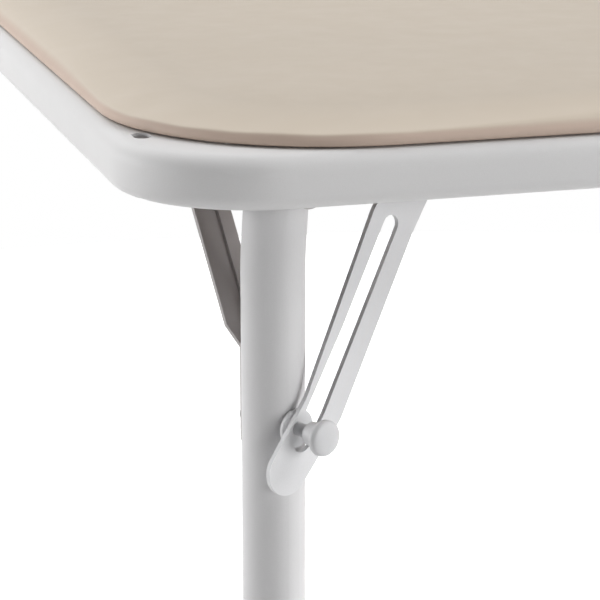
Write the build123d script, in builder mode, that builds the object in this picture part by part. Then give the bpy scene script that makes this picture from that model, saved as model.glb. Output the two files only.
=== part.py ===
"""Folding card table: a vinyl-covered top in a steel frame on four folding legs.

The table stands open with its feet on the floor plane. X runs along the front rail, Y runs to
the back and Z is up. The origin is the middle of the table on the floor. Each leg turns about a
rod at its top, and a slotted brace locks it. The four corners are alike, each a quarter turn on.
"""

import os
from math import cos, radians, sin

from build123d import *

os.makedirs("parts", exist_ok=True)

# Whole table
table_side = 864.0
table_height = 711.0
corner_names = ["front_left", "front_right", "back_right", "back_left"]
quarter_turn = 90
seat_gap = 0.05
running_gap = 0.06
side_gap = 0.2
cut_overrun = 4.0

# Perimeter frame: a roll-formed rail bent into a ring
frame_depth = 21.0
frame_wall = 1.2
frame_corner_radius = 58.0
frame_shoulder_radius = 7.0
frame_heel_radius = 5.0
frame_lip_radius = 2.4
top_flange_width = 26.0
bottom_flange_width = 9.5
bottom_flange_lip = 4.5
rim_hole_width = 7.0
rim_hole_length = 11.0
rim_hole_inset = 12.6
rim_hole_station = 55.0

# Padded panel
panel_inset = 5.3
panel_corner_radius = 93.6
cover_skin = 0.9
cover_hem_width = 6.0
board_thickness = 3.2
board_edge_gap = 0.7
foam_gap = 0.2
crown_inset_shares = [0.0, 0.017, 0.085, 0.32, 0.95]
crown_rises = [4.4, 6.3, 8.2, 9.9, 11.0]
foam_base_rise = cover_skin + board_thickness + foam_gap
screw_shank_radius = 2.0
screw_head_radius = 4.2
screw_head_height = 1.8
screw_inset = 14.0
screw_bite = 3.0
screw_spread = 240.0

# Leg, with its top bent a little towards the fold
fold_angle = 25.0
leg_inset_x = 59.4
leg_inset_y = 34.0
tube_radius = 12.7
tube_wall = 1.2
bend_start_drop = 32.0
bend_radius = 150.0
bend_angle = 4.5
pivot_rise = 5.0
tube_end_past_pivot = 6.5

# Foot cap
foot_radius = 14.6
foot_height = 34.0
foot_floor = 5.0
foot_edge_radius = 2.0
foot_groove_count = 2
foot_groove_pitch = 9.0
foot_groove_depth = 0.9
foot_groove_width = 1.6

# Hinge rod and spacer
rod_radius = 4.0
rod_head_radius = 6.6
rod_head_height = 2.4
spacer_radius = 6.4

# Lock stud and washer
stud_drop = 92.6
stud_shank_radius = 2.7
stud_neck_radius = 4.1
stud_head_radius = 7.3
stud_head_reach = 29.0
stud_neck_length = 6.7
stud_rim_height = 1.3
stud_dome_height = 3.6
stud_tail_radius = 5.4
stud_tail_height = 2.0
washer_radius = 8.0
washer_thickness = 2.0
washer_edge_radius = 0.6
washer_standoff = 0.15

# Slotted lock brace: centres of its outline circles, out from the leg and down from the frame
brace_thickness = 3.0
ear_out = 64.4
ear_rise = 4.2
ear_radius = 9.8
shoulder_out = 47.8
shoulder_drop = 16.0
shoulder_radius = 12.4
elbow_out = 11.0
elbow_drop = 85.5
elbow_radius = 11.0
tail_back = 7.6
tail_drop = 107.5
tail_radius = 10.1
slot_top_out = 46.3
slot_top_drop = 17.2
slot_low_out = 7.7
slot_low_drop = 85.4
slot_radius = 4.2
notch_back = 0.6
notch_top_drop = 91.4
notch_low_drop = 96.4
notch_radius = 4.9
travel_end_out = 42.93
travel_end_drop = 24.3
travel_gap = 0.35
brace_rivet_radius = 2.5
brace_rivet_head_radius = 5.0
brace_rivet_head_height = 1.8

# Hinge strut: a beaded strap from the back of the leg up to the rod
strut_sheet = 1.6
strut_width = 18.0
saddle_half_angle = 42.0
saddle_top_drop = 60.0
saddle_low_drop = 106.0
saddle_width = 12.5
saddle_corner_radius = 5.0
arm_start_drop = 66.0
arm_end_drop = 4.5
arm_end_back = 46.9
arm_end_out = 4.0
arm_heel_width = 8.0
arm_heel_length = 11.0
bead_width = 8.0
bead_recess_width = 5.0
bead_margin = 9.0
bead_edge_radius = 0.9
tab_radius = 9.0
tab_low_drop = 3.0

# Brackets, pressed from sheet
bracket_sheet = 1.5
bracket_lobe_radius = 8.6
web_past_pivot = 15.0
web_past_ear = 13.0
web_low_rise = 7.0
bracket_shoulder_gap = 0.3
strut_ear_rail_reach = 35.0
strut_ear_leg_reach = 14.0
strut_flange_back = 32.0
strut_flange_step_in = 14.0
strut_flange_step_back = 20.0
lightening_hole_radius = 7.0

# Places worked out from the sizes above
panel_rise = crown_rises[-1]
crown_insets = [share * panel_corner_radius for share in crown_inset_shares]
frame_base = table_height - frame_depth - panel_rise
panel_base = frame_base + frame_depth
half_side = table_side / 2
leg_x = leg_inset_x - half_side
leg_y = leg_inset_y - half_side
out_cos = cos(radians(fold_angle))
out_sin = sin(radians(fold_angle))
bend_run = bend_radius * sin(radians(bend_angle))
bend_shift = bend_radius * (1 - cos(radians(bend_angle)))
bend_end_drop = bend_start_drop - bend_run
lean_tan = sin(radians(bend_angle)) / cos(radians(bend_angle))
pivot_out = bend_shift + (bend_end_drop + pivot_rise) * lean_tan
washer_back = tube_radius + washer_standoff
brace_back = washer_back + washer_thickness + washer_standoff
brace_front = brace_back + brace_thickness
web_back = brace_front + side_gap
web_front = web_back + bracket_sheet
flange_top = frame_depth - frame_wall
flange_under = flange_top - bracket_sheet
tab_front = arm_end_back - strut_sheet / 2
tab_back = tab_front + strut_sheet
strut_ear_face = tab_back + side_gap
strut_ear_back = strut_ear_face + bracket_sheet
rail_line = frame_shoulder_radius + frame_wall / 2 + bracket_shoulder_gap
screw_places = [
    (-screw_spread / 2, screw_inset - half_side),
    (screw_spread / 2, screw_inset - half_side),
]
pivot = (pivot_out, pivot_rise)
ear = (ear_out, ear_rise)
seat = (0, -stud_drop)


def fold_plane(reach):
    """Upright plane in which a leg folds: x out along the fold, y up from the frame's bottom."""
    return Plane(
        origin=(leg_x + reach * out_sin, leg_y - reach * out_cos, frame_base),
        x_dir=(out_cos, out_sin, 0),
        z_dir=(out_sin, -out_cos, 0),
    )


def spot(out, back, rise):
    """Point out along the fold, back behind the leg and up from the frame's bottom."""
    return Vector(
        leg_x + out * out_cos - back * out_sin,
        leg_y + out * out_sin + back * out_cos,
        frame_base + rise,
    )


def tapered_strap(start, start_radius, end, end_radius):
    """Flat strap with round ends of two radii."""
    with BuildSketch() as strap:
        with Locations(start):
            Circle(start_radius)
        with Locations(end):
            Circle(end_radius)
        make_hull()
    return strap.sketch


def save(piece, label):
    """Write one finished piece under its own name."""
    piece.label = label
    export_step(piece, f"parts/{label}.step")


def save_at_corners(piece, name):
    """Write a corner piece four times, a quarter turn apart."""
    for turn, corner in enumerate(corner_names):
        with BuildPart() as placed:
            add(piece, rotation=(0, 0, turn * quarter_turn))
        save(placed.part, f"{name}_{corner}")


# Axes along which edges and faces are sorted
fold_axis = Axis((leg_x, leg_y, frame_base), (out_sin, -out_cos, 0))


# Perimeter frame
section_mid = frame_wall / 2
section_plane = Plane(origin=(0, -half_side, frame_base), x_dir=(0, 1, 0), z_dir=(1, 0, 0))
with BuildSketch(Plane.XY.offset(frame_base)) as frame_outline:
    RectangleRounded(table_side, table_side, frame_corner_radius)
with BuildPart() as perimeter_frame:
    with BuildSketch(section_plane):
        with BuildLine():
            FilletPolyline(
                (bottom_flange_width, bottom_flange_lip),
                (bottom_flange_width, section_mid),
                (section_mid, section_mid),
                (section_mid, frame_depth - section_mid),
                (top_flange_width, frame_depth - section_mid),
                radius=(frame_lip_radius, frame_heel_radius, frame_shoulder_radius),
            )
        trace(line_width=frame_wall)
    sweep(path=frame_outline.sketch.wire())
    # The small hole beside each corner, half hidden by the padded panel
    for turn in range(len(corner_names)):
        corner_turn = Location((0, 0, 0), (0, 0, turn * quarter_turn))
        with BuildSketch(Plane.XY.offset(panel_base)):
            with Locations(corner_turn):
                with Locations((rim_hole_inset - half_side, rim_hole_station - half_side)):
                    SlotOverall(rim_hole_length, rim_hole_width, rotation=quarter_turn)
        extrude(amount=cut_overrun, both=True, mode=Mode.SUBTRACT)
    # Clearance holes for the panel screws
    with BuildSketch(Plane.XY.offset(panel_base)):
        for turn in range(len(corner_names)):
            with Locations(Location((0, 0, 0), (0, 0, turn * quarter_turn))):
                with Locations(*screw_places):
                    Circle(screw_shank_radius + running_gap)
    extrude(amount=cut_overrun, both=True, mode=Mode.SUBTRACT)
save(perimeter_frame.part, "perimeter_frame")


# Padded panel: board, foam and cover
def panel_outline(inset, rise):
    """Round-cornered outline of the panel, drawn in from its edge, at a height above the frame."""
    side = table_side - 2 * (panel_inset + inset)
    with BuildSketch(Plane.XY.offset(panel_base + rise)) as outline:
        RectangleRounded(side, side, panel_corner_radius - inset)
    return outline.sketch


def crown(skin):
    """Padded form: straight wall, rolled edge and a gentle crown, all set inside a skin."""
    with BuildPart() as form:
        for level in range(len(crown_insets) - 1):
            low = panel_outline(crown_insets[level] + skin, crown_rises[level] - skin)
            high = panel_outline(crown_insets[level + 1] + skin, crown_rises[level + 1] - skin)
            loft([low, high], ruled=True)
    return form.part


with BuildPart() as panel_board:
    add(panel_outline(cover_skin + board_edge_gap, cover_skin))
    extrude(amount=board_thickness)
    with BuildSketch(Plane.XY.offset(panel_base)):
        for turn in range(len(corner_names)):
            with Locations(Location((0, 0, 0), (0, 0, turn * quarter_turn))):
                with Locations(*screw_places):
                    Circle(screw_shank_radius)
    extrude(amount=cover_skin + screw_bite, mode=Mode.SUBTRACT)
save(panel_board.part, "panel_board")

with BuildPart() as foam_pad:
    add(crown(cover_skin + foam_gap))
    with BuildSketch(Plane.XY.offset(panel_base)):
        Rectangle(table_side, table_side)
    extrude(amount=foam_base_rise, mode=Mode.SUBTRACT)
save(foam_pad.part, "foam_pad")

with BuildPart() as vinyl_cover:
    add(panel_outline(0, 0))
    extrude(amount=crown_rises[0])
    add(crown(0))
    add(crown(cover_skin), mode=Mode.SUBTRACT)
    add(panel_outline(cover_skin, cover_skin))
    extrude(amount=crown_rises[0] - 2 * cover_skin, mode=Mode.SUBTRACT)
    add(panel_outline(cover_hem_width, 0))
    extrude(amount=cover_skin, mode=Mode.SUBTRACT)
save(vinyl_cover.part, "vinyl_cover")


# Screws from below, through the top flange into the board
with BuildPart() as panel_screws:
    for turn in range(len(corner_names)):
        with BuildSketch(Plane.XY.offset(frame_base + flange_top)):
            with Locations(Location((0, 0, 0), (0, 0, turn * quarter_turn))):
                with Locations(*screw_places):
                    Circle(screw_head_radius)
        extrude(amount=-screw_head_height)
        with BuildSketch(Plane.XY.offset(frame_base + flange_top)):
            with Locations(Location((0, 0, 0), (0, 0, turn * quarter_turn))):
                with Locations(*screw_places):
                    Circle(screw_shank_radius)
        extrude(amount=frame_wall + cover_skin + screw_bite)
    under_faces = panel_screws.faces().filter_by(Plane.XY).group_by(Axis.Z)[0]
    fillet(under_faces.edges(), screw_head_height / 2)
save(panel_screws.part, "panel_screws")


# Leg: a tube with a slight bend under its pivot
with BuildPart() as leg_tube:
    with BuildLine(fold_plane(0)) as leg_line:
        shin = Line((0, foot_floor - frame_base), (0, -bend_start_drop))
        knee = JernArc(shin @ 1, shin % 1, bend_radius, -bend_angle)
        top_length = (bend_end_drop + pivot_rise) / cos(radians(bend_angle)) + tube_end_past_pivot
        PolarLine(knee @ 1, top_length, direction=knee % 1)
    with BuildSketch(Plane.XY.offset(foot_floor)):
        with Locations((leg_x, leg_y)):
            Circle(tube_radius)
            Circle(tube_radius - tube_wall, mode=Mode.SUBTRACT)
    sweep(path=leg_line.wire())
    with BuildSketch(fold_plane(0)):
        with Locations(pivot):
            Circle(rod_radius + running_gap)
        with Locations(seat):
            Circle(stud_shank_radius + seat_gap)
    extrude(amount=tube_radius + cut_overrun, both=True, mode=Mode.SUBTRACT)
save_at_corners(leg_tube.part, "leg_tube")

with BuildPart() as leg_foot:
    with BuildSketch(fold_plane(0)):
        with BuildLine():
            Polyline(
                (0, -frame_base),
                (foot_radius, -frame_base),
                (foot_radius, foot_height - frame_base),
                (tube_radius + seat_gap, foot_height - frame_base),
                (tube_radius + seat_gap, foot_floor - frame_base),
                (0, foot_floor - frame_base),
                close=True,
            )
        make_face()
    revolve(axis=Axis((leg_x, leg_y, 0), (0, 0, 1)))
    round_edges = leg_foot.edges().filter_by(GeomType.CIRCLE)
    fillet(round_edges.group_by(Axis.Z)[0], foot_edge_radius)
    top_edges = leg_foot.edges().filter_by(GeomType.CIRCLE).group_by(Axis.Z)[-1]
    fillet(top_edges.sort_by(SortBy.RADIUS)[-1], (foot_radius - tube_radius) / 2)
    # Grip grooves round the cap
    with BuildSketch(fold_plane(0)):
        for groove in range(1, foot_groove_count + 1):
            with Locations((foot_radius, groove * foot_groove_pitch - frame_base)):
                Rectangle(2 * foot_groove_depth, foot_groove_width)
    revolve(axis=Axis((leg_x, leg_y, 0), (0, 0, 1)), mode=Mode.SUBTRACT)
save_at_corners(leg_foot.part, "leg_foot")


# Hinge rod with its two heads, and the spacer on it
with BuildPart() as hinge_rod:
    with BuildSketch(fold_plane(-strut_ear_back)):
        with Locations(pivot):
            Circle(rod_radius)
    extrude(amount=strut_ear_back + web_front)
    with BuildSketch(fold_plane(web_front)):
        with Locations(pivot):
            Circle(rod_head_radius)
    extrude(amount=rod_head_height)
    with BuildSketch(fold_plane(-strut_ear_back)):
        with Locations(pivot):
            Circle(rod_head_radius)
    extrude(amount=-rod_head_height)
    head_rims = hinge_rod.edges().filter_by(GeomType.CIRCLE).sort_by(fold_axis)
    fillet([head_rims[0], head_rims[-1]], rod_head_height / 2)
save_at_corners(hinge_rod.part, "hinge_rod")

with BuildPart() as hinge_spacer:
    with BuildSketch(fold_plane(web_back - side_gap)):
        with Locations(pivot):
            Circle(spacer_radius)
            Circle(rod_radius + running_gap, mode=Mode.SUBTRACT)
    extrude(amount=tube_radius + side_gap - web_back + side_gap)
save_at_corners(hinge_spacer.part, "hinge_spacer")


# Lock stud: a shoulder rivet turned about its own axis
tail_seat = tube_radius + seat_gap + strut_sheet
neck_back = stud_head_reach - stud_neck_length
rim_front = stud_head_reach + stud_rim_height
stud_plane = Plane(
    origin=spot(0, 0, -stud_drop), x_dir=(out_sin, -out_cos, 0), z_dir=(-out_cos, -out_sin, 0)
)
with BuildPart() as lock_stud:
    with BuildSketch(stud_plane):
        with BuildLine():
            Polyline(
                (-tail_seat, stud_tail_radius),
                (-tail_seat, stud_shank_radius),
                (neck_back, stud_shank_radius),
                (neck_back, stud_neck_radius),
                (stud_head_reach, stud_neck_radius),
                (stud_head_reach, stud_head_radius),
                (rim_front, stud_head_radius),
            )
            dome_top = (rim_front + stud_dome_height, 0)
            tail_top = (-tail_seat - stud_tail_height, 0)
            TangentArc(dome_top, (rim_front, stud_head_radius), tangent=(0, 1))
            TangentArc(tail_top, (-tail_seat, stud_tail_radius), tangent=(0, 1))
            Line(tail_top, dome_top)
        make_face()
    revolve(axis=Axis(stud_plane.origin, stud_plane.x_dir))
save_at_corners(lock_stud.part, "lock_stud")

with BuildPart() as stud_washer:
    with BuildSketch(fold_plane(washer_back)):
        with Locations(seat):
            Circle(washer_radius)
            Circle(stud_shank_radius + running_gap, mode=Mode.SUBTRACT)
    extrude(amount=washer_thickness)
    washer_rims = stud_washer.edges().filter_by(GeomType.CIRCLE)
    fillet(washer_rims.group_by(SortBy.RADIUS)[-1], washer_edge_radius)
save_at_corners(stud_washer.part, "stud_washer")


# Slotted lock brace: a dog-leg plate, its long slot ending in a J-shaped notch for the stud
elbow = (elbow_out, -elbow_drop)
shoulder = (shoulder_out, -shoulder_drop)
tail = (-tail_back, -tail_drop)
slot_top = (slot_top_out, -slot_top_drop)
slot_low = (slot_low_out, -slot_low_drop)
notch_top = (-notch_back, -notch_top_drop)
notch_low = (-notch_back, -notch_low_drop)
travel_end = (travel_end_out, -travel_end_drop)
shank_way = stud_shank_radius + travel_gap
with BuildPart() as lock_brace:
    with BuildSketch(fold_plane(brace_back)):
        add(tapered_strap(ear, ear_radius, shoulder, shoulder_radius))
        add(tapered_strap(shoulder, shoulder_radius, elbow, elbow_radius))
        add(tapered_strap(elbow, elbow_radius, tail, tail_radius))
    extrude(amount=brace_thickness)
    with BuildSketch(fold_plane(brace_back)):
        add(tapered_strap(slot_top, slot_radius, slot_low, slot_radius))
        add(tapered_strap(slot_low, slot_radius, notch_low, notch_radius))
        add(tapered_strap(notch_top, notch_radius, notch_low, notch_radius))
        add(tapered_strap(seat, shank_way, travel_end, shank_way))
        with Locations(ear):
            Circle(brace_rivet_radius + seat_gap)
    extrude(amount=brace_thickness, mode=Mode.SUBTRACT)
save_at_corners(lock_brace.part, "lock_brace")

with BuildPart() as brace_rivet:
    with BuildSketch(fold_plane(brace_back)):
        with Locations(ear):
            Circle(brace_rivet_radius)
    extrude(amount=brace_thickness)
    with BuildSketch(fold_plane(brace_back)):
        with Locations(ear):
            Circle(brace_rivet_head_radius)
    extrude(amount=-brace_rivet_head_height)
    head_rim = brace_rivet.edges().filter_by(GeomType.CIRCLE).sort_by(fold_axis)[0]
    fillet(head_rim, brace_rivet_head_height / 2)
save_at_corners(brace_rivet.part, "brace_rivet")


# Hinge strut: curved saddle on the leg, beaded arm and an upright tab on the rod
back_angle = quarter_turn + fold_angle
saddle_height = saddle_low_drop - saddle_top_drop
with BuildPart() as saddle:
    with BuildSketch(Plane.XY.offset(frame_base - saddle_low_drop)):
        with BuildLine():
            CenterArc(
                (leg_x, leg_y),
                tube_radius + seat_gap + strut_sheet / 2,
                back_angle - saddle_half_angle,
                2 * saddle_half_angle,
            )
        trace(line_width=strut_sheet)
    extrude(amount=saddle_height)
    with BuildSketch(fold_plane(0)):
        with Locations((0, saddle_height / 2 - saddle_low_drop)):
            RectangleRounded(saddle_width, saddle_height, saddle_corner_radius)
    extrude(amount=-arm_end_back, mode=Mode.INTERSECT)

arm_start = spot(0, tube_radius + seat_gap + strut_sheet / 2, -arm_start_drop)
arm_end = spot(arm_end_out, arm_end_back, -arm_end_drop)
arm_length = (arm_end - arm_start).length
arm_axis = (arm_end - arm_start).normalized()
across = Vector(out_cos, out_sin, 0)
arm_normal = across.cross(arm_axis).normalized()
arm_plane = Plane(origin=arm_start, x_dir=arm_axis.cross(arm_normal), z_dir=arm_normal)
bead_length = arm_length - 2 * bead_margin
bead_recess_length = bead_length - bead_width + bead_recess_width
with BuildPart() as hinge_strut:
    add(saddle.part)
    with BuildSketch(arm_plane):
        with BuildLine():
            Polyline(
                (-arm_heel_width / 2, 0),
                (arm_heel_width / 2, 0),
                (strut_width / 2, arm_heel_length),
                (strut_width / 2, arm_length),
                (-strut_width / 2, arm_length),
                (-strut_width / 2, arm_heel_length),
                close=True,
            )
        make_face()
    extrude(amount=strut_sheet / 2, both=True)
    with BuildSketch(fold_plane(-tab_front)):
        add(tapered_strap(pivot, tab_radius, (arm_end_out, -tab_low_drop), tab_radius))
    extrude(amount=-strut_sheet)
    with BuildSketch(arm_plane.offset(-strut_sheet / 2)):
        with Locations((0, arm_length / 2)):
            SlotOverall(bead_length, bead_width, rotation=quarter_turn)
    bead = extrude(amount=-strut_sheet)
    fillet(bead.faces().sort_by(Axis(arm_start, arm_normal))[0].edges(), bead_edge_radius)
    with BuildSketch(arm_plane.offset(strut_sheet / 2)):
        with Locations((0, arm_length / 2)):
            SlotOverall(bead_recess_length, bead_recess_width, rotation=quarter_turn)
    extrude(amount=-strut_sheet, mode=Mode.SUBTRACT)
    with BuildSketch(fold_plane(0)):
        with Locations(pivot):
            Circle(rod_radius + running_gap)
        with Locations(seat):
            Circle(stud_shank_radius + seat_gap)
    extrude(amount=-tab_back - cut_overrun, mode=Mode.SUBTRACT)
save_at_corners(hinge_strut.part, "hinge_strut")


# Hinge bracket: an upright web in front of the brace and a flange under the front rail
web_ends = (pivot_out - web_past_pivot, ear_out + web_past_ear)
web_length = web_ends[1] - web_ends[0]
flange_level = Plane.XY.offset(frame_base + flange_under)
web_near = spot(web_ends[0], -web_back, 0)
web_far = spot(web_ends[1], -web_back, 0)
front_rail_line = rail_line - half_side
with BuildPart() as hinge_bracket:
    with BuildSketch(fold_plane(web_back)):
        with Locations(((web_ends[0] + web_ends[1]) / 2, (web_low_rise + flange_top) / 2)):
            Rectangle(web_length, flange_top - web_low_rise)
        with Locations(pivot, ear):
            Circle(bracket_lobe_radius)
    extrude(amount=bracket_sheet)
    with BuildSketch(flange_level):
        with BuildLine():
            Polyline(
                (web_near.X, web_near.Y),
                (web_far.X, web_far.Y),
                (web_far.X, front_rail_line),
                (web_near.X, front_rail_line),
                close=True,
            )
        make_face()
        with Locations(((web_near.X + 2 * web_far.X) / 3, (web_far.Y + front_rail_line) / 2)):
            Circle(lightening_hole_radius, mode=Mode.SUBTRACT)
    extrude(amount=bracket_sheet)
    with BuildSketch(fold_plane(web_back)):
        with Locations(pivot):
            Circle(rod_radius + seat_gap)
        with Locations(ear):
            Circle(brace_rivet_radius + seat_gap)
    extrude(amount=bracket_sheet, mode=Mode.SUBTRACT)
save_at_corners(hinge_bracket.part, "hinge_bracket")


# Strut bracket: an upright ear behind the strut's tab and a flange, both reaching to the side rail
side_rail_line = rail_line - half_side
ear_near = spot(pivot_out - strut_ear_rail_reach, strut_ear_face, 0)
ear_far = spot(pivot_out + strut_ear_leg_reach, strut_ear_face, 0)
ear_middle = pivot_out + (strut_ear_leg_reach - strut_ear_rail_reach) / 2
with BuildPart() as strut_bracket:
    with BuildSketch(fold_plane(-strut_ear_face)):
        with Locations((ear_middle, (web_low_rise + flange_top) / 2)):
            Rectangle(strut_ear_rail_reach + strut_ear_leg_reach, flange_top - web_low_rise)
        with Locations(pivot):
            Circle(bracket_lobe_radius)
            Circle(rod_radius + seat_gap, mode=Mode.SUBTRACT)
    extrude(amount=-bracket_sheet)
    with BuildSketch(flange_level):
        with BuildLine():
            Polyline(
                (ear_near.X, ear_near.Y),
                (ear_far.X, ear_far.Y),
                (ear_far.X - strut_flange_step_in, ear_far.Y + strut_flange_step_back),
                (side_rail_line, ear_near.Y + strut_flange_back),
                (side_rail_line, ear_near.Y),
                close=True,
            )
        make_face()
    extrude(amount=bracket_sheet)
save_at_corners(strut_bracket.part, "strut_bracket")
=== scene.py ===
import logging
import math
from collections.abc import Iterable
from dataclasses import dataclass
from enum import Enum

import bmesh
import bpy
from mathutils import Matrix, Vector


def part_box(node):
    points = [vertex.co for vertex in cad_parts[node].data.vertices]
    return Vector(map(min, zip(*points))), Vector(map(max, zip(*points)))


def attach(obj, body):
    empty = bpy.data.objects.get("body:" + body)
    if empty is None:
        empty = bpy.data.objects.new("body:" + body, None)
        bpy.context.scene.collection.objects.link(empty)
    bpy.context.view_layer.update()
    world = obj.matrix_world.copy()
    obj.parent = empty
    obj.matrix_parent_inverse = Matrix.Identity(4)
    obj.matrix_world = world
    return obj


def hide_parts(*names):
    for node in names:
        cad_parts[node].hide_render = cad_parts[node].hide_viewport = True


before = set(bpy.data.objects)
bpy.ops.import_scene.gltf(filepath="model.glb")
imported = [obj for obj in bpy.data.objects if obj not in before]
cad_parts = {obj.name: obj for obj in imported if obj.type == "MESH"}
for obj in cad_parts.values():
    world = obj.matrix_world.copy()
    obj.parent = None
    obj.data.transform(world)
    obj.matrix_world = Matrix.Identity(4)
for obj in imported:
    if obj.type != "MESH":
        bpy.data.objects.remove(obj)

log = logging.getLogger("folding_card_table")

CORNERS = ("front_left", "front_right", "back_right", "back_left")
TOP_BODY = "table_top"
MM_PER_METRE = 1000.0
SAME_SPOT = 1e-6
NOISE_BAND = (0.3, 0.7)
NARROW_BAND = (0.35, 0.65)
WHITE = (1.0, 1.0, 1.0, 1.0)


class Facing(Enum):
    """Which way a pattern runs over a piece."""

    EVEN = "even"
    UPRIGHT = "upright"
    ALONG_BRACE = "along_brace"


class MaterialBench:
    """A new node material with its Principled shader, and short ways to add and join nodes."""

    def __init__(self, name: str) -> None:
        """Start a material.

        Args:
            name: the material's name.
        """
        self.material = bpy.data.materials.new(name)
        self.material.use_nodes = True
        self.tree = self.material.node_tree
        self.shader = self.tree.nodes["Principled BSDF"]
        self.place = self.add("ShaderNodeTexCoord").outputs["Object"]

    def add(self, kind: str, **settings: object) -> bpy.types.Node:
        """Add a node.

        Args:
            kind: the node's type.
            settings: properties set on the node.

        Returns:
            The new node.
        """
        node = self.tree.nodes.new(kind)
        for key, value in settings.items():
            setattr(node, key, value)
        return node

    def join(self, source: bpy.types.NodeSocket, target: bpy.types.NodeSocket) -> None:
        """Link one socket to another.

        Args:
            source: the output socket.
            target: the input socket.
        """
        self.tree.links.new(source, target)

    def fix(self, **values: object) -> None:
        """Set plain values on the shader's own sockets.

        Args:
            values: the values by socket name, spaces written as underscores.
        """
        for key, value in values.items():
            self.shader.inputs[key.replace("_", " ")].default_value = value

    def stretched(self, scale: Vector, turn: Vector = Vector()) -> bpy.types.NodeSocket:
        """Object coordinates turned and stretched by a Mapping node.

        Args:
            scale: scale along each axis.
            turn: rotation in radians.

        Returns:
            The mapped vector.
        """
        mapping = self.add("ShaderNodeMapping")
        mapping.inputs["Rotation"].default_value = turn
        mapping.inputs["Scale"].default_value = scale
        self.join(self.place, mapping.inputs["Vector"])
        return mapping.outputs["Vector"]

    def noise(
        self, scale: float, detail: float = 2.0, vector: bpy.types.NodeSocket | None = None
    ) -> bpy.types.NodeSocket:
        """Noise from 0 to 1.

        Args:
            scale: features per metre.
            detail: octaves.
            vector: coordinates, or None for Object coordinates.

        Returns:
            The noise value.
        """
        node = self.add("ShaderNodeTexNoise")
        node.inputs["Scale"].default_value = scale
        node.inputs["Detail"].default_value = detail
        self.join(vector or self.place, node.inputs["Vector"])
        return node.outputs["Fac"]

    def ranged(
        self, value: bpy.types.NodeSocket, start: tuple[float, float], end: tuple[float, float]
    ) -> bpy.types.NodeSocket:
        """Map a value from one range to another.

        Args:
            value: the socket to map.
            start: the range it has.
            end: the range it gets.

        Returns:
            The mapped value.
        """
        node = self.add("ShaderNodeMapRange")
        for key, number in zip(("From Min", "From Max", "To Min", "To Max"), (*start, *end)):
            node.inputs[key].default_value = number
        self.join(value, node.inputs["Value"])
        return node.outputs["Result"]

    def math(
        self, operation: str, first: bpy.types.NodeSocket, second: bpy.types.NodeSocket | float
    ) -> bpy.types.NodeSocket:
        """Put two values through a Math node.

        Args:
            operation: the Math node's operation.
            first: a socket.
            second: a socket or a number.

        Returns:
            The result.
        """
        node = self.add("ShaderNodeMath", operation=operation)
        self.join(first, node.inputs[0])
        if isinstance(second, (int, float)):
            node.inputs[1].default_value = second
        else:
            self.join(second, node.inputs[1])
        return node.outputs["Value"]

    def blended(
        self,
        share: bpy.types.NodeSocket,
        low: tuple[float, float, float],
        high: tuple[float, float, float],
    ) -> bpy.types.NodeSocket:
        """A colour between two, by a share.

        Args:
            share: 0 to 1.
            low: the colour at 0.
            high: the colour at 1.

        Returns:
            The colour.
        """
        node = self.add("ShaderNodeMix", data_type="RGBA")
        node.inputs["A"].default_value = (*low, 1.0)
        node.inputs["B"].default_value = (*high, 1.0)
        self.join(share, node.inputs["Factor"])
        return node.outputs["Result"]

    def covered(
        self,
        share: bpy.types.NodeSocket,
        under: bpy.types.NodeSocket,
        colour: tuple[float, float, float],
    ) -> bpy.types.NodeSocket:
        """One colour laid over another by a share.

        Args:
            share: 0 to 1.
            under: the colour at 0.
            colour: the colour at 1.

        Returns:
            The colour.
        """
        node = self.add("ShaderNodeMix", data_type="RGBA")
        node.inputs["B"].default_value = (*colour, 1.0)
        self.join(under, node.inputs["A"])
        self.join(share, node.inputs["Factor"])
        return node.outputs["Result"]

    def cells(self, scale: float) -> bpy.types.NodeSocket:
        """Distance to the nearest of many scattered points.

        Args:
            scale: cells per metre.

        Returns:
            The distance.
        """
        node = self.add("ShaderNodeTexVoronoi", feature="F1", distance="EUCLIDEAN")
        node.inputs["Scale"].default_value = scale
        self.join(self.place, node.inputs["Vector"])
        return node.outputs["Distance"]

    def bump(
        self,
        height: bpy.types.NodeSocket,
        strength: float,
        depth: float,
        under: bpy.types.NodeSocket | None = None,
    ) -> bpy.types.NodeSocket:
        """Raise the surface by a height.

        Args:
            height: 0 to 1.
            strength: how strongly.
            depth: the depth in metres.
            under: a normal that this one adds to.

        Returns:
            The new normal.
        """
        node = self.add("ShaderNodeBump")
        node.inputs["Strength"].default_value = strength
        node.inputs["Distance"].default_value = depth
        self.join(height, node.inputs["Height"])
        if under is not None:
            self.join(under, node.inputs["Normal"])
        return node.outputs["Normal"]


def shade(colour: tuple[float, float, float], share: float) -> tuple[float, float, float]:
    """Make a colour lighter or darker.

    Args:
        colour: the colour.
        share: what each of its parts is multiplied by.

    Returns:
        The new colour, no part above 1.
    """
    return tuple(min(1.0, part * share) for part in colour)


def white_rays(tree: bpy.types.NodeTree) -> bpy.types.NodeSocket:
    """Pick the rays that see a white studio: camera rays, glossy rays and transmission rays.

    Args:
        tree: the node tree that gets the nodes.

    Returns:
        1 for such a ray, otherwise 0.
    """
    rays = tree.nodes.new("ShaderNodeLightPath")
    seen = rays.outputs["Is Camera Ray"]
    for other in ("Is Transmission Ray", "Is Glossy Ray"):
        either = tree.nodes.new("ShaderNodeMath")
        either.operation = "MAXIMUM"
        tree.links.new(seen, either.inputs[0])
        tree.links.new(rays.outputs[other], either.inputs[1])
        seen = either.outputs["Value"]
    return seen


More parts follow.
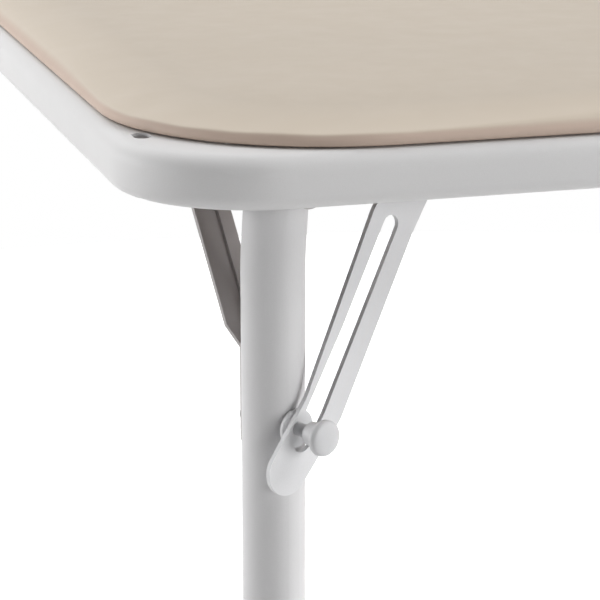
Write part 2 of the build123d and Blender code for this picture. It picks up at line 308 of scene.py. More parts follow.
@dataclass(frozen=True)
class SatinPaint:
    """Powder coat over steel: even colour, a slight orange peel and a soft gloss."""

    name: str
    colour: tuple[float, float, float]
    roughness: float = 0.48
    facing: Facing = Facing.EVEN
    shine: float = 0.25
    drift_scale: float = 9.0
    speck_scale: float = 2600.0
    darkest: float = 0.965
    palest: float = 1.03
    gloss_scale: float = 45.0
    gloss_swing: float = 0.04
    peel_scale: float = 520.0
    peel: float = 0.05
    peel_depth: float = 0.0004
    streak_strength: float = 0.08
    streak_depth: float = 0.0002
    streak_scale: tuple[float, float, float] = (1900.0, 1900.0, 60.0)
    brace_lean: float = -30.0

    def material(self) -> bpy.types.Material:
        """Build the node material.

        Returns:
            The material.
        """
        bench = MaterialBench(self.name)
        bench.fix(Specular_IOR_Level=self.shine)
        drift = bench.ranged(bench.noise(self.drift_scale, 3.0), NOISE_BAND, (0.0, 0.6))
        speck = bench.ranged(bench.noise(self.speck_scale, 1.0), NARROW_BAND, (0.0, 0.4))
        tone = bench.math("ADD", drift, speck)
        low, high = shade(self.colour, self.darkest), shade(self.colour, self.palest)
        bench.join(bench.blended(tone, low, high), bench.shader.inputs["Base Color"])
        swing = (self.roughness - self.gloss_swing, self.roughness + self.gloss_swing)
        gloss = bench.ranged(bench.noise(self.gloss_scale, 3.0), NOISE_BAND, swing)
        bench.join(gloss, bench.shader.inputs["Roughness"])
        normal = bench.bump(bench.noise(self.peel_scale), self.peel, self.peel_depth)
        if self.facing is not Facing.EVEN:
            streaks = bench.noise(1.0, 3.0, self.streaked(bench))
            normal = bench.bump(streaks, self.streak_strength, self.streak_depth, normal)
        bench.join(normal, bench.shader.inputs["Normal"])
        return bench.material

    def streaked(self, bench: MaterialBench) -> bpy.types.NodeSocket:
        """Coordinates stretched along the way that the streaks run.

        Args:
            bench: the material's bench.

        Returns:
            The mapped vector.
        """
        lean = math.radians(self.brace_lean) if self.facing is Facing.ALONG_BRACE else 0.0
        return bench.stretched(Vector(self.streak_scale), Vector((0.0, lean, 0.0)))


@dataclass(frozen=True)
class BareSteel:
    """Plain zinc-plated steel of rods and screws."""

    name: str
    colour: tuple[float, float, float] = (0.56, 0.56, 0.57)
    darkest: float = 0.82
    palest: float = 1.1
    roughness: tuple[float, float] = (0.28, 0.42)
    tone_scale: float = 180.0
    grit_scale: float = 900.0
    grit: float = 0.06
    grit_depth: float = 0.0002

    def material(self) -> bpy.types.Material:
        """Build the node material.

        Returns:
            The material.
        """
        bench = MaterialBench(self.name)
        bench.fix(Metallic=1.0)
        tone = bench.noise(self.tone_scale, 4.0)
        low, high = shade(self.colour, self.darkest), shade(self.colour, self.palest)
        bench.join(bench.blended(tone, low, high), bench.shader.inputs["Base Color"])
        bench.join(bench.ranged(tone, NOISE_BAND, self.roughness), bench.shader.inputs["Roughness"])
        grit = bench.bump(bench.noise(self.grit_scale), self.grit, self.grit_depth)
        bench.join(grit, bench.shader.inputs["Normal"])
        return bench.material


@dataclass(frozen=True)
class GrainedVinyl:
    """Beige table vinyl: a very fine grain, faint waves, small pulls over the rolled edge and a
    painted highlight just inside the edge.
    """

    name: str
    colour: tuple[float, float, float]
    rim: tuple[float, float, float]
    roughness: float = 0.46
    gloss_scale: float = 60.0
    gloss_swing: tuple[float, float] = (-0.03, 0.04)
    shine: float = 0.12
    darkest: float = 0.975
    palest: float = 1.02
    # How much the colour is lifted just inside the edge: a painted highlight
    painted_highlight_gain: float = 1.17
    # Where the painted highlight inside the edge and the darker rim begin and end, in metres down
    # the edge_run map
    painted_highlight_zone: tuple[float, float] = (-0.026, 0.006)
    rim_zone: tuple[float, float] = (0.0098, 0.0135)
    drift_scale: float = 4.0
    mottle_scale: float = 160.0
    grain_scale: float = 1500.0
    grain: float = 0.10
    grain_depth: float = 0.00012
    wave_scale: float = 14.0
    wave: float = 0.10
    wave_depth: float = 0.003
    pull_scale: tuple[float, float, float] = (330.0, 26.0, 1.0)
    pull: float = 0.16
    pull_depth: float = 0.0006

    def material(self) -> bpy.types.Material:
        """Build the node material.

        Returns:
            The material.
        """
        bench = MaterialBench(self.name)
        bench.fix(Specular_IOR_Level=self.shine)
        run = bench.add("ShaderNodeUVMap", uv_map="edge_run").outputs["UV"]
        parts = bench.add("ShaderNodeSeparateXYZ")
        bench.join(run, parts.inputs["Vector"])
        at_rim = bench.ranged(parts.outputs["Y"], self.rim_zone, (0.0, 1.0))
        painted_highlight_band = bench.ranged(parts.outputs["Y"], self.painted_highlight_zone, (0.0, 1.0))
        drift = bench.ranged(bench.noise(self.drift_scale, 3.0), NARROW_BAND, (0.0, 0.7))
        mottle = bench.ranged(bench.noise(self.mottle_scale), NARROW_BAND, (0.0, 0.3))
        low, high = shade(self.colour, self.darkest), shade(self.colour, self.palest)
        top = bench.blended(bench.math("ADD", drift, mottle), low, high)
        # Painted highlight: the colour is made paler in a band just inside the cover's edge
        painted_highlight_colour = bench.covered(painted_highlight_band, top, shade(self.colour, self.painted_highlight_gain))
        bench.join(bench.covered(at_rim, painted_highlight_colour, self.rim), bench.shader.inputs["Base Color"])
        swing = tuple(self.roughness + part for part in self.gloss_swing)
        gloss = bench.ranged(bench.noise(self.gloss_scale), NOISE_BAND, swing)
        bench.join(gloss, bench.shader.inputs["Roughness"])
        grain = bench.bump(bench.cells(self.grain_scale), self.grain, self.grain_depth)
        waves = bench.bump(bench.noise(self.wave_scale, 1.0), self.wave, self.wave_depth, grain)
        stretch = bench.add("ShaderNodeMapping")
        stretch.inputs["Scale"].default_value = self.pull_scale
        bench.join(run, stretch.inputs["Vector"])
        pulls = bench.math("MULTIPLY", bench.noise(1.0, 2.0, stretch.outputs["Vector"]), at_rim)
        normal = bench.bump(pulls, self.pull, self.pull_depth, waves)
        bench.join(normal, bench.shader.inputs["Normal"])
        return bench.material


@dataclass(frozen=True)
class PressedBoard:
    """Brown hardboard with a fine fibre fleck and a screen-pressed face."""

    name: str
    colour: tuple[float, float, float]
    roughness: float = 0.78
    darkest: float = 0.7
    palest: float = 1.25
    fibre_scale: tuple[float, float, float] = (700.0, 260.0, 500.0)
    fibre: float = 0.2
    fibre_depth: float = 0.0003
    screen_scale: float = 420.0
    screen: float = 0.25
    screen_depth: float = 0.0004

    def material(self) -> bpy.types.Material:
        """Build the node material.

        Returns:
            The material.
        """
        bench = MaterialBench(self.name)
        bench.fix(Roughness=self.roughness)
        fibres = bench.noise(1.0, 4.0, bench.stretched(Vector(self.fibre_scale)))
        low, high = shade(self.colour, self.darkest), shade(self.colour, self.palest)
        bench.join(bench.blended(fibres, low, high), bench.shader.inputs["Base Color"])
        pressed = bench.bump(bench.cells(self.screen_scale), self.screen, self.screen_depth)
        normal = bench.bump(fibres, self.fibre, self.fibre_depth, pressed)
        bench.join(normal, bench.shader.inputs["Normal"])
        return bench.material


@dataclass(frozen=True)
class OpenFoam:
    """Thin cream foam with small open cells."""

    name: str
    colour: tuple[float, float, float]
    roughness: float = 0.9
    palest: float = 1.05
    # How dark the painted shade in the cells' hollows is
    darkest: float = 0.7
    cell_scale: float = 900.0
    relief: float = 0.4
    relief_depth: float = 0.0005

    def material(self) -> bpy.types.Material:
        """Build the node material.

        Returns:
            The material.
        """
        bench = MaterialBench(self.name)
        bench.fix(Roughness=self.roughness)
        cells = bench.cells(self.cell_scale)
        # The cells' hollows are painted darker: painted shade in the pores
        wall, hollow_shade = shade(self.colour, self.palest), shade(self.colour, self.darkest)
        bench.join(bench.blended(cells, wall, hollow_shade), bench.shader.inputs["Base Color"])
        relief = bench.bump(cells, self.relief, self.relief_depth)
        bench.join(relief, bench.shader.inputs["Normal"])
        return bench.material


@dataclass(frozen=True)
class MouldedCap:
    """Pale grey moulded foot cap, matt, scuffed near the floor."""

    name: str
    colour: tuple[float, float, float]
    roughness: tuple[float, float] = (0.5, 0.64)
    scuffed: float = 0.62
    scuff_height: float = 0.012
    scuff_scale: float = 260.0
    gloss_scale: float = 300.0
    grit_scale: float = 1400.0
    grit: float = 0.12
    grit_depth: float = 0.0002

    def material(self) -> bpy.types.Material:
        """Build the node material.

        Returns:
            The material.
        """
        bench = MaterialBench(self.name)
        parts = bench.add("ShaderNodeSeparateXYZ")
        bench.join(bench.place, parts.inputs["Vector"])
        low = bench.ranged(parts.outputs["Z"], (0.0, self.scuff_height), (1.0, 0.0))
        scuff = bench.math("MULTIPLY", low, bench.noise(self.scuff_scale, 4.0))
        tone = bench.blended(scuff, self.colour, shade(self.colour, self.scuffed))
        bench.join(tone, bench.shader.inputs["Base Color"])
        gloss = bench.ranged(bench.noise(self.gloss_scale), NOISE_BAND, self.roughness)
        bench.join(gloss, bench.shader.inputs["Roughness"])
        grit = bench.bump(bench.noise(self.grit_scale), self.grit, self.grit_depth)
        bench.join(grit, bench.shader.inputs["Normal"])
        return bench.material


def dress(piece: bpy.types.Object, material: bpy.types.Material) -> None:
    """Give a piece one material in place of those that it has.

    Args:
        piece: the mesh object.
        material: the material.
    """
    piece.data.materials.clear()
    piece.data.materials.append(material)


def smooth(piece: bpy.types.Object, angle: float = 32.0) -> None:
    """Shade a piece smooth, with its sharp edges kept.

    Args:
        piece: the mesh object.
        angle: edges sharper than this, in degrees, stay crisp.
    """
    piece.data.shade_smooth()
    piece.data.set_sharp_from_angle(angle=math.radians(angle))


def points(items: Iterable[object]) -> list[bmesh.types.BMVert]:
    """Pick the points among some parts of a bmesh.

    Args:
        items: points, edges and faces.

    Returns:
        The points.
    """
    return [item for item in items if isinstance(item, bmesh.types.BMVert)]


def open_edges(items: Iterable[object]) -> list[bmesh.types.BMEdge]:
    """Pick the edges that have one face only among some parts of a bmesh.

    Args:
        items: points, edges and faces.

    Returns:
        The open edges.
    """
    edges = (item for item in items if isinstance(item, bmesh.types.BMEdge))
    return [edge for edge in edges if edge.is_boundary]


def placed(name: str, shape: bmesh.types.BMesh, body: str) -> bpy.types.Object:
    """Turn a bmesh into an object that rides on a body.

    Args:
        name: the piece's name.
        shape: the bmesh, which is freed.
        body: the CAD body it rides on.

    Returns:
        The new object.
    """
    mesh = bpy.data.meshes.new(name)
    shape.to_mesh(mesh)
    shape.free()
    piece = bpy.data.objects.new(name, mesh)
    bpy.context.scene.collection.objects.link(piece)
    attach(piece, body)
    return piece


@dataclass
class PaddedTop:
    """Vinyl pulled over foam and board, crisp round the corners and rolled along the sides."""

    vinyl: bpy.types.Material
    foam: bpy.types.Material
    board: bpy.types.Material
    half: float = 0.4267
    corner_radius: float = 0.0936
    base: float = 0.700
    cells: int = 72
    inner_inset: float = 0.060
    skin: float = 0.0009
    crisp_reach: float = 0.070
    rolled_reach: float = 0.185
    middle_rise: float = 0.0110
    crown_power: int = 6
    map_offset: float = 0.012
    # Inset from the edge and rise over the frame, in mm, from the flat top out, down and under
    crisp: tuple[tuple[float, float], ...] = (
        (60.0, 9.9), (44.0, 9.2), (30.0, 8.4), (20.0, 7.7), (12.0, 7.15), (7.0, 6.8),
        (3.6, 6.6), (1.7, 6.45), (0.75, 6.2), (0.2, 5.7), (0.0, 5.0), (0.0, 3.4),
        (0.0, 1.9), (0.3, 1.05), (1.3, 0.65), (2.9, 0.4), (3.3, 0.03), (8.5, 0.03),
    )
    rolled: tuple[tuple[float, float], ...] = (
        (60.0, 10.9), (44.0, 10.85), (30.0, 10.75), (21.0, 10.6), (14.5, 10.3), (10.0, 9.95),
        (6.6, 9.45), (4.1, 8.75), (2.3, 7.8), (1.1, 6.6), (0.4, 5.2), (0.0, 3.5),
        (0.0, 1.9), (0.3, 1.05), (1.3, 0.65), (2.9, 0.4), (3.3, 0.03), (8.5, 0.03),
    )
    pressure: float = 4.0
    cloth_mass: float = 0.25
    stiffness: float = 30.0
    bending: float = 2.0
    cloth_quality: int = 5
    last_frame: int = 20
    held_rise: float = 0.0048
    swell_cap: float = 0.0012
    foam_cells: int = 36
    foam_draw_in: float = 0.0022
    foam_drop: float = 0.0012
    foam_least: float = 0.0001
    foam_levels: int = 9

    def ring_spot(self, side: int, share: float, inset: float) -> tuple[Vector, float]:
        """Point on the rounded outline drawn in by an inset.

        Args:
            side: 0 to 3, from the front, counter-clockwise seen from above.
            share: -1 to 1 along the side, between two corner middles.
            inset: distance in from the edge, in metres.

        Returns:
            The point at height zero, and its distance along the outline to the nearer corner.
        """
        half = self.half - inset
        radius = max(self.corner_radius - inset, 0.0)
        straight = half - radius
        length = straight + radius * math.pi / 4
        run = abs(share) * length
        if run <= straight or radius == 0.0:
            along, out = run, half
        else:
            turn = (run - straight) / radius
            along = straight + radius * math.sin(turn)
            out = straight + radius * math.cos(turn)
        spot = Vector((math.copysign(along, share), -out, 0.0))
        spot.rotate(Matrix.Rotation(side * math.pi / 2, 3, "Z"))
        return spot, length - run

    def crispness(self, from_corner: float) -> float:
        """Share of the crisp profile, 1 at a corner and 0 along a side.

        Args:
            from_corner: distance along the outline to the nearer corner, in metres.

        Returns:
            The share.
        """
        step = (from_corner - self.crisp_reach) / (self.rolled_reach - self.crisp_reach)
        step = min(max(step, 0.0), 1.0)
        return 1.0 - step * step * (3.0 - 2.0 * step)

    def seat(self, side: int, share: float, level: int, draw_in: float) -> Vector:
        """Point of the cover at one level of its profile.

        Args:
            side: 0 to 3.
            share: -1 to 1 along the side.
            level: index into the two profiles.
            draw_in: how far inside the cover the form lies.

        Returns:
            The point in the table's frame.
        """
        from_corner = self.ring_spot(side, share, 0.0)[1]
        crisp = self.crispness(from_corner)
        inset = self.rolled[level][0] + (self.crisp[level][0] - self.rolled[level][0]) * crisp
        rise = self.rolled[level][1] + (self.crisp[level][1] - self.rolled[level][1]) * crisp
        spot = self.ring_spot(side, share, inset / MM_PER_METRE + draw_in)[0]
        spot.z = self.base + rise / MM_PER_METRE
        return spot

    @staticmethod
    def side_of(x: float, y: float) -> tuple[int, float, float]:
        """Find which side of the square a grid point belongs to.

        Args:
            x: -1 to 1.
            y: -1 to 1.

        Returns:
            The side, the share along it from -1 to 1, and the ring from 0 to 1.
        """
        ring = max(abs(x), abs(y))
        if ring < SAME_SPOT:
            return 0, 0.0, 0.0
        if abs(y) >= abs(x) and y < 0:
            return 0, x / ring, ring
        if abs(x) > abs(y) and x > 0:
            return 1, y / ring, ring
        if abs(y) >= abs(x):
            return 2, -x / ring, ring
        return 3, -y / ring, ring

    def shape(self, cells: int, draw_in: float, levels: int) -> bmesh.types.BMesh:
        """Model the cover: a grid for the flat, then its edge drawn out, down and under.

        Args:
            cells: grid cells along a side.
            draw_in: how far inside the cover the form lies.
            levels: how many levels of the profile are drawn.

        Returns:
            The bmesh, with the run along the edge and down it as UVs.
        """
        cover = bmesh.new()
        bmesh.ops.create_grid(cover, x_segments=cells, y_segments=cells, size=1.0)
        keys: dict[bmesh.types.BMVert, tuple[int, float]] = {}
        depth: dict[bmesh.types.BMVert, float] = {}
        for vert in cover.verts:
            side, share, ring = self.side_of(vert.co.x, vert.co.y)
            inner = self.half - self.inner_inset - draw_in
            inset = self.inner_inset + draw_in + (1.0 - ring) * inner
            edge = self.seat(side, share, 0, draw_in)
            spot = self.ring_spot(side, share, inset)[0]
            crown = self.base + self.middle_rise - edge.z
            spot.z = edge.z + crown * (1.0 - ring**self.crown_power)
            vert.co = spot
            keys[vert] = (side, share)
            depth[vert] = -inset
        rim = open_edges(cover.edges)
        for level in range(1, levels):
            made = bmesh.ops.extrude_edge_only(cover, edges=rim)["geom"]
            fresh = points(made)
            known = set(fresh)
            for vert in fresh:
                others = (edge.other_vert(vert) for edge in vert.link_edges)
                twin = next(other for other in others if other not in known)
                keys[vert] = keys[twin]
                depth[vert] = depth[twin]
            (inset, rise), (last_inset, last_rise) = self.rolled[level], self.rolled[level - 1]
            step = math.hypot(inset - last_inset, rise - last_rise) / MM_PER_METRE
            for vert in fresh:
                side, share = keys[vert]
                vert.co = self.seat(side, share, level, draw_in)
                depth[vert] += step
            rim = open_edges(made)
        layer = cover.loops.layers.uv.new("edge_run")
        for face in cover.faces:
            for loop in face.loops:
                side, share = keys[loop.vert]
                run = (side * 2 + 1 + share) * self.half
                loop[layer].uv = (run, depth[loop.vert] + self.map_offset)
        bmesh.ops.recalc_face_normals(cover, faces=cover.faces)
        return cover

    def swell(self, piece: bpy.types.Object) -> None:
        """Let cloth under pressure swell the top, with each point's move capped.

        Args:
            piece: the cover, whose mesh is moved.
        """
        trial = piece.copy()
        trial.data = piece.data.copy()
        trial.parent = None
        bpy.context.scene.collection.objects.link(trial)
        held = trial.vertex_groups.new(name="held")
        limit = self.base + self.held_rise
        held.add([v.index for v in trial.data.vertices if v.co.z < limit], 1.0, "REPLACE")
        cloth = trial.modifiers.new("swell", "CLOTH")
        cloth.settings.quality = self.cloth_quality
        cloth.settings.mass = self.cloth_mass
        cloth.settings.tension_stiffness = self.stiffness
        cloth.settings.compression_stiffness = self.stiffness
        cloth.settings.bending_stiffness = self.bending
        cloth.settings.use_pressure = True
        cloth.settings.uniform_pressure_force = self.pressure
        cloth.settings.vertex_group_mass = "held"
        cloth.settings.effector_weights.gravity = 0.0
        cloth.point_cache.frame_start = 1
        cloth.point_cache.frame_end = self.last_frame
        for step in range(1, self.last_frame + 1):
            bpy.context.scene.frame_set(step)
        posed = trial.evaluated_get(bpy.context.evaluated_depsgraph_get())
        moves = [b.co - a.co for a, b in zip(piece.data.vertices, posed.data.vertices)]
        for vert, move in zip(piece.data.vertices, moves):
            size = move.length
            if size > 0.0:
                vert.co += move * (self.swell_cap * (1.0 - math.exp(-size / self.swell_cap)) / size)
        bpy.context.scene.frame_set(1)
        mesh = trial.data
        bpy.data.objects.remove(trial)
        bpy.data.meshes.remove(mesh)

    def foam_sheet(self) -> None:
        """Model the foam between board and vinyl, just inside the cover's own form."""
        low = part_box("foam_pad")[0]
        slab = self.shape(self.foam_cells, self.foam_draw_in, self.foam_levels)
        for vert in slab.verts:
            vert.co.z = max(vert.co.z - self.foam_drop, low.z + self.foam_least)
        skirt = bmesh.ops.extrude_edge_only(slab, edges=open_edges(slab.edges))["geom"]
        for vert in points(skirt):
            vert.co.z = low.z
        bmesh.ops.contextual_create(slab, geom=open_edges(skirt))
        bmesh.ops.recalc_face_normals(slab, faces=slab.faces)
        piece = placed("foam_sheet", slab, TOP_BODY)
        dress(piece, self.foam)
        smooth(piece)
        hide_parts("foam_pad")

    def build(self) -> None:
        """Model and dress the cover, its foam and the board."""
        piece = placed("vinyl_top", self.shape(self.cells, 0.0, len(self.rolled)), TOP_BODY)
        self.swell(piece)
        dress(piece, self.vinyl)
        piece.data.shade_smooth()
        wall = piece.modifiers.new("skin", "SOLIDIFY")
        wall.thickness = self.skin
        wall.offset = -1.0
        finer = piece.modifiers.new("finer", "SUBSURF")
        finer.levels = finer.render_levels = 1
        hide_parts("vinyl_cover")
        log.info("cover made with %d points", len(piece.data.vertices))
        self.foam_sheet()
        dress(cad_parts["panel_board"], self.board)
        log.info("foam and board dressed")


@dataclass
class SteelFittings:
    """Frame, legs, braces, struts and brackets, with their pressed edges eased."""

    rail: bpy.types.Material
    leg: bpy.types.Material
    plate: bpy.types.Material
    # Grey of the struts and brackets, darkened as painted shade for the shadow under the top
    shaded_pressing: bpy.types.Material
    stud: bpy.types.Material
    steel: bpy.types.Material
    cap: bpy.types.Material
    edge_break: float = 0.00035
    break_angle: float = 40.0
    flat_angle: float = 0.4
    fold_angle: float = 25.0
    brace_thinning: float = 0.0010
    neck_radius: float = 0.0041
    neck_tolerance: float = 0.0005
    collar_radius: float = 0.0048
    collar_start: float = 0.0045
    collar_end: float = 0.0120
    head_radius: float = 0.0073
    dome_height: float = 0.0036
    flat_height: float = 0.0023
    dome_flatness: float = 2.6

    def outward(self, corner: str) -> Vector:
        """Direction in which a corner's stud points.

        Args:
            corner: the corner's name.

        Returns:
            The direction, of length 1.
        """
        turn = math.radians(self.fold_angle)
        way = Vector((math.sin(turn), -math.cos(turn), 0.0))
        way.rotate(Matrix.Rotation(CORNERS.index(corner) * math.pi / 2, 3, "Z"))
        return way

    def collared(self, shape: bmesh.types.BMesh, corner: str) -> None:
        """Flatten a stud's head and widen the neck behind it to the real one's thick collar.

        Args:
            shape: the stud's bmesh, which is changed.
            corner: the corner it stands at.
        """
        outward = self.outward(corner)
        side = outward.cross(Vector((0.0, 0.0, 1.0)))
        across = [vert.co.dot(side) for vert in shape.verts]
        height = [vert.co.z for vert in shape.verts]
        reach = [vert.co.dot(outward) for vert in shape.verts]
        middle = side * ((min(across) + max(across)) / 2)
        middle.z = (min(height) + max(height)) / 2
        front = max(reach)
        for vert, far in zip(shape.verts, reach):
            out = vert.co - outward * far - middle
            behind = front - far
            on_neck = abs(out.length - self.neck_radius) < self.neck_tolerance
            if self.collar_start < behind < self.collar_end and on_neck:
                vert.co += out * (self.collar_radius / self.neck_radius - 1.0)
            elif behind < self.dome_height:
                share = min(out.length / self.head_radius, 1.0)
                fullness = (1.0 - share**self.dome_flatness) ** (1.0 / self.dome_flatness)
                rise = self.flat_height * fullness
                vert.co += outward * (rise - self.dome_height + behind)

    def thinned(self, shape: bmesh.types.BMesh, corner: str) -> None:
        """Bring a brace's back face forward, so that its cut edges look as thin as the real ones.

        Args:
            shape: the brace's bmesh, which is changed.
            corner: the corner it stands at.
        """
        outward = self.outward(corner)
        reach = [vert.co.dot(outward) for vert in shape.verts]
        middle = (min(reach) + max(reach)) / 2
        back = [vert for vert, far in zip(shape.verts, reach) if far < middle]
        bmesh.ops.translate(shape, verts=back, vec=outward * self.brace_thinning)

    def eased(self, node: str, body: str) -> bpy.types.Object:
        """Copy a CAD node with its sharp edges rounded off a little.

        Args:
            node: the CAD node.
            body: the body it rides on.

        Returns:
            The piece that stands for the node.
        """
        shape = bmesh.new()
        shape.from_mesh(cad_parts[node].data)
        bmesh.ops.remove_doubles(shape, verts=shape.verts, dist=SAME_SPOT)
        bmesh.ops.dissolve_limit(
            shape,
            angle_limit=math.radians(self.flat_angle),
            verts=shape.verts,
            edges=shape.edges,
            use_dissolve_boundaries=False,
        )
        if node.startswith("lock_brace"):
            self.thinned(shape, node.removeprefix("lock_brace_"))
        if node.startswith("lock_stud"):
            self.collared(shape, node.removeprefix("lock_stud_"))
        piece = placed(f"{node}_eased", shape, body)
        smooth(piece)
        bevel = piece.modifiers.new("edge_break", "BEVEL")
        bevel.width = self.edge_break
        bevel.segments = 2
        bevel.limit_method = "ANGLE"
        bevel.angle_limit = math.radians(self.break_angle)
        bevel.harden_normals = True
        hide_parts(node)
        return piece

    def corner(self, corner: str) -> None:
        """Dress the fittings of one corner.

        Args:
            corner: the corner's name.
        """
        for node, body, material, slot in (
            ("lock_brace", f"brace_{corner}", self.plate, "fitting_paint"),
            ("hinge_bracket", TOP_BODY, self.shaded_pressing, "fitting_paint"),
            ("strut_bracket", TOP_BODY, self.shaded_pressing, "fitting_paint"),
            ("lock_stud", f"leg_{corner}", self.stud, "fastener"),
        ):
            piece = self.eased(f"{node}_{corner}", body)
            dress(piece, material)
        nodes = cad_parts
        for node, material in (
            ("hinge_strut", self.shaded_pressing),
            ("leg_tube", self.leg),
            ("leg_foot", self.cap),
            ("stud_washer", self.plate),
            ("brace_rivet", self.stud),
            ("hinge_rod", self.steel),
            ("hinge_spacer", self.steel),
        ):
            dress(nodes[f"{node}_{corner}"], material)
        log.info("fittings of %s dressed", corner)

    def build(self) -> None:
        """Dress the frame and the four corners."""
        rail = self.eased("perimeter_frame", TOP_BODY)
        dress(rail, self.rail)
        dress(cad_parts["panel_screws"], self.steel)
        for corner in CORNERS:
            self.corner(corner)


@dataclass(frozen=True)
class Softbox:
    """A soft light by its place round the table's front left corner.

    The bearing is its direction from that corner in degrees right of the camera's, which is
    counter-clockwise seen from above. The lift is its angle above the level in degrees. Its
    size is its width and height in metres, and its power is in watts.
    """

    name: str
    bearing: float
    lift: float
    size: tuple[float, float]
    power: float


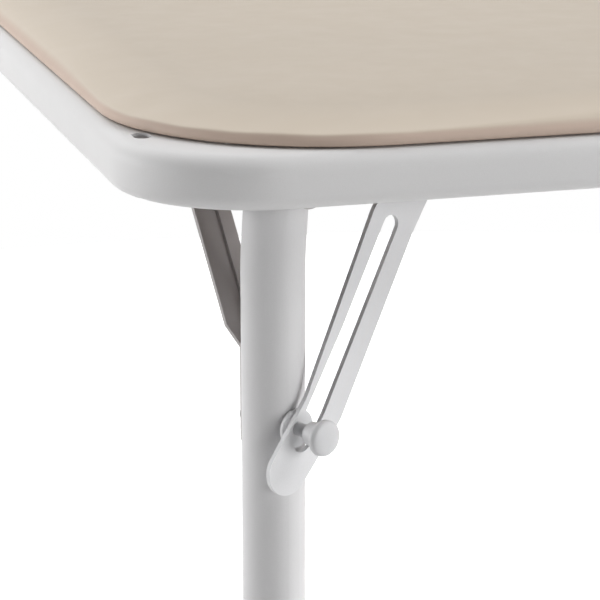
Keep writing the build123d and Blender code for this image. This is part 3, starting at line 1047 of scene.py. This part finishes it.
@dataclass
class Studio:
    """Pale floor, soft lights and the camera of the photograph."""

    floor_radius: float = 2.2
    floor_segments: int = 96
    floor_tone: float = 0.70
    floor_glow: float = 0.75
    horizon: float = 1.0
    # The room's light, by how far a direction points to the front, from behind to before it
    front: tuple[float, float, float] = (-0.29, -0.96, 0.0)
    front_zone: tuple[float, float] = (-1.0, 0.75)
    room_light: tuple[float, float] = (0.09, 0.02)
    lens: float = 132.0
    sensor: float = 36.0
    clip: tuple[float, float] = (0.05, 60.0)
    turn: float = 16.720
    pitch: float = 15.613
    eye: tuple[float, float, float] = (-0.601353, -1.196365, 0.867891)
    lit_point: tuple[float, float, float] = (-0.43, -0.43, 0.65)
    light_distance: float = 4.2
    softboxes: tuple[Softbox, ...] = (
        Softbox("left_light", -90.0, 5.0, (4.5, 1.7), 122.0),
        Softbox("right_light", 56.0, 5.0, (2.3, 1.7), 94.0),
        Softbox("far_right_light", 106.0, 6.0, (1.2, 1.2), 36.0),
        Softbox("high_left_light", -122.0, 42.0, (4.9, 2.8), 130.0),
        Softbox("high_right_light", 97.0, 42.0, (2.8, 2.8), 138.0),
    )

    def floor(self) -> None:
        """Lay the floor, with the table's soft shadow on it.

        It glows white to camera, glossy and transmission rays, and its glow lights nothing.
        """
        plane = bmesh.new()
        bmesh.ops.create_circle(
            plane, cap_ends=True, segments=self.floor_segments, radius=self.floor_radius
        )
        mesh = bpy.data.meshes.new("floor")
        plane.to_mesh(mesh)
        plane.free()
        ground = bpy.data.objects.new("floor", mesh)
        bpy.context.scene.collection.objects.link(ground)
        bench = MaterialBench("floor_white")
        grey = (self.floor_tone, self.floor_tone, self.floor_tone, 1.0)
        bench.fix(Base_Color=grey, Roughness=0.9, Specular_IOR_Level=0.1)
        glow = bench.add("ShaderNodeEmission")
        strength = bench.math("MULTIPLY", white_rays(bench.tree), self.floor_glow)
        bench.join(strength, glow.inputs["Strength"])
        total = bench.add("ShaderNodeAddShader")
        bench.join(bench.shader.outputs["BSDF"], total.inputs[0])
        bench.join(glow.outputs["Emission"], total.inputs[1])
        bench.join(total.outputs["Shader"], bench.tree.nodes["Material Output"].inputs["Surface"])
        dress(ground, bench.material)

    def sky(self) -> None:
        """Surround the table: white to camera, glossy and transmission rays, dim to all others."""
        world = bpy.data.worlds.new("studio")
        bpy.context.scene.world = world
        world.use_nodes = True
        tree = world.node_tree
        tree.nodes.clear()
        add, join = tree.nodes.new, tree.links.new
        coords = add("ShaderNodeTexCoord")
        facing = add("ShaderNodeVectorMath")
        facing.operation = "DOT_PRODUCT"
        facing.inputs[1].default_value = self.front
        join(coords.outputs["Generated"], facing.inputs[0])
        fall = add("ShaderNodeMapRange")
        fall.interpolation_type = "SMOOTHSTEP"
        keys = ("From Min", "From Max", "To Min", "To Max")
        for key, number in zip(keys, (*self.front_zone, *self.room_light)):
            fall.inputs[key].default_value = number
        join(facing.outputs["Value"], fall.inputs["Value"])
        room = add("ShaderNodeBackground")
        room.inputs["Color"].default_value = WHITE
        join(fall.outputs["Result"], room.inputs["Strength"])
        white = add("ShaderNodeBackground")
        white.inputs["Color"].default_value = WHITE
        white.inputs["Strength"].default_value = self.horizon
        mix = add("ShaderNodeMixShader")
        join(white_rays(tree), mix.inputs["Fac"])
        join(room.outputs["Background"], mix.inputs[1])
        join(white.outputs["Background"], mix.inputs[2])
        join(mix.outputs["Shader"], add("ShaderNodeOutputWorld").inputs["Surface"])

    def hang(self, box: Softbox) -> None:
        """Hang a soft light, facing the table's front left corner.

        Args:
            box: the light.
        """
        lamp = bpy.data.lights.new(box.name, "AREA")
        lamp.shape = "RECTANGLE"
        lamp.size, lamp.size_y = box.size
        lamp.energy = box.power
        aside, above = math.radians(box.bearing - 90.0 - self.turn), math.radians(box.lift)
        level = math.cos(above)
        way = Vector((math.cos(aside) * level, math.sin(aside) * level, math.sin(above)))
        holder = bpy.data.objects.new(box.name, lamp)
        holder.location = Vector(self.lit_point) + way * self.light_distance
        holder.rotation_euler = (-way).to_track_quat("-Z", "Y").to_euler()
        holder.visible_camera = False
        bpy.context.scene.collection.objects.link(holder)

    def camera(self) -> None:
        """Set the camera where the photograph was taken from."""
        turn, pitch = math.radians(self.turn), math.radians(self.pitch)
        right = Vector((math.cos(turn), -math.sin(turn), 0.0))
        ahead = Vector((math.sin(turn), math.cos(turn), 0.0))
        look = ahead * math.cos(pitch) - Vector((0.0, 0.0, math.sin(pitch)))
        up = right.cross(look)
        lens = bpy.data.cameras.new("photo_camera")
        lens.lens = self.lens
        lens.sensor_width = self.sensor
        lens.clip_start, lens.clip_end = self.clip
        holder = bpy.data.objects.new("photo_camera", lens)
        turned = Matrix((right, up, -look)).transposed()
        holder.matrix_world = Matrix.Translation(self.eye) @ turned.to_4x4()
        bpy.context.scene.collection.objects.link(holder)
        bpy.context.scene.camera = holder

    def build(self) -> None:
        """Set up the whole studio."""
        self.camera()
        self.floor()
        self.sky()
        for box in self.softboxes:
            self.hang(box)
        bpy.context.scene.view_settings.view_transform = "Standard"
        log.info("studio ready")


def main() -> None:
    """Build the studio, the padded top and the steel."""
    logging.basicConfig(level=logging.INFO)
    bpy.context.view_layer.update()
    Studio().build()
    PaddedTop(
        vinyl=GrainedVinyl("beige_vinyl", (0.495, 0.434, 0.361), (0.53, 0.42, 0.35)).material(),
        foam=OpenFoam("cream_foam", (0.82, 0.78, 0.62)).material(),
        board=PressedBoard("hardboard", (0.20, 0.12, 0.07)).material(),
    ).build()
    SteelFittings(
        rail=SatinPaint("rail_paint", (0.66, 0.655, 0.655)).material(),
        leg=SatinPaint("leg_paint", (0.64, 0.635, 0.64), facing=Facing.UPRIGHT).material(),
        plate=SatinPaint(
            "plate_paint", (0.69, 0.69, 0.70), roughness=0.4, facing=Facing.ALONG_BRACE
        ).material(),
        # This grey is darker than the other paints: painted shade for the shadow the struts and
        # brackets stand in
        shaded_pressing=SatinPaint("shaded_pressing_paint", (0.46, 0.435, 0.43), roughness=0.42).material(),
        stud=SatinPaint("stud_paint", (0.58, 0.58, 0.59), roughness=0.3).material(),
        steel=BareSteel("zinc_steel").material(),
        cap=MouldedCap("foot_cap", (0.55, 0.55, 0.56)).material(),
    ).build()
    log.info("boxes noted")


if __name__ == "__main__":
    main()
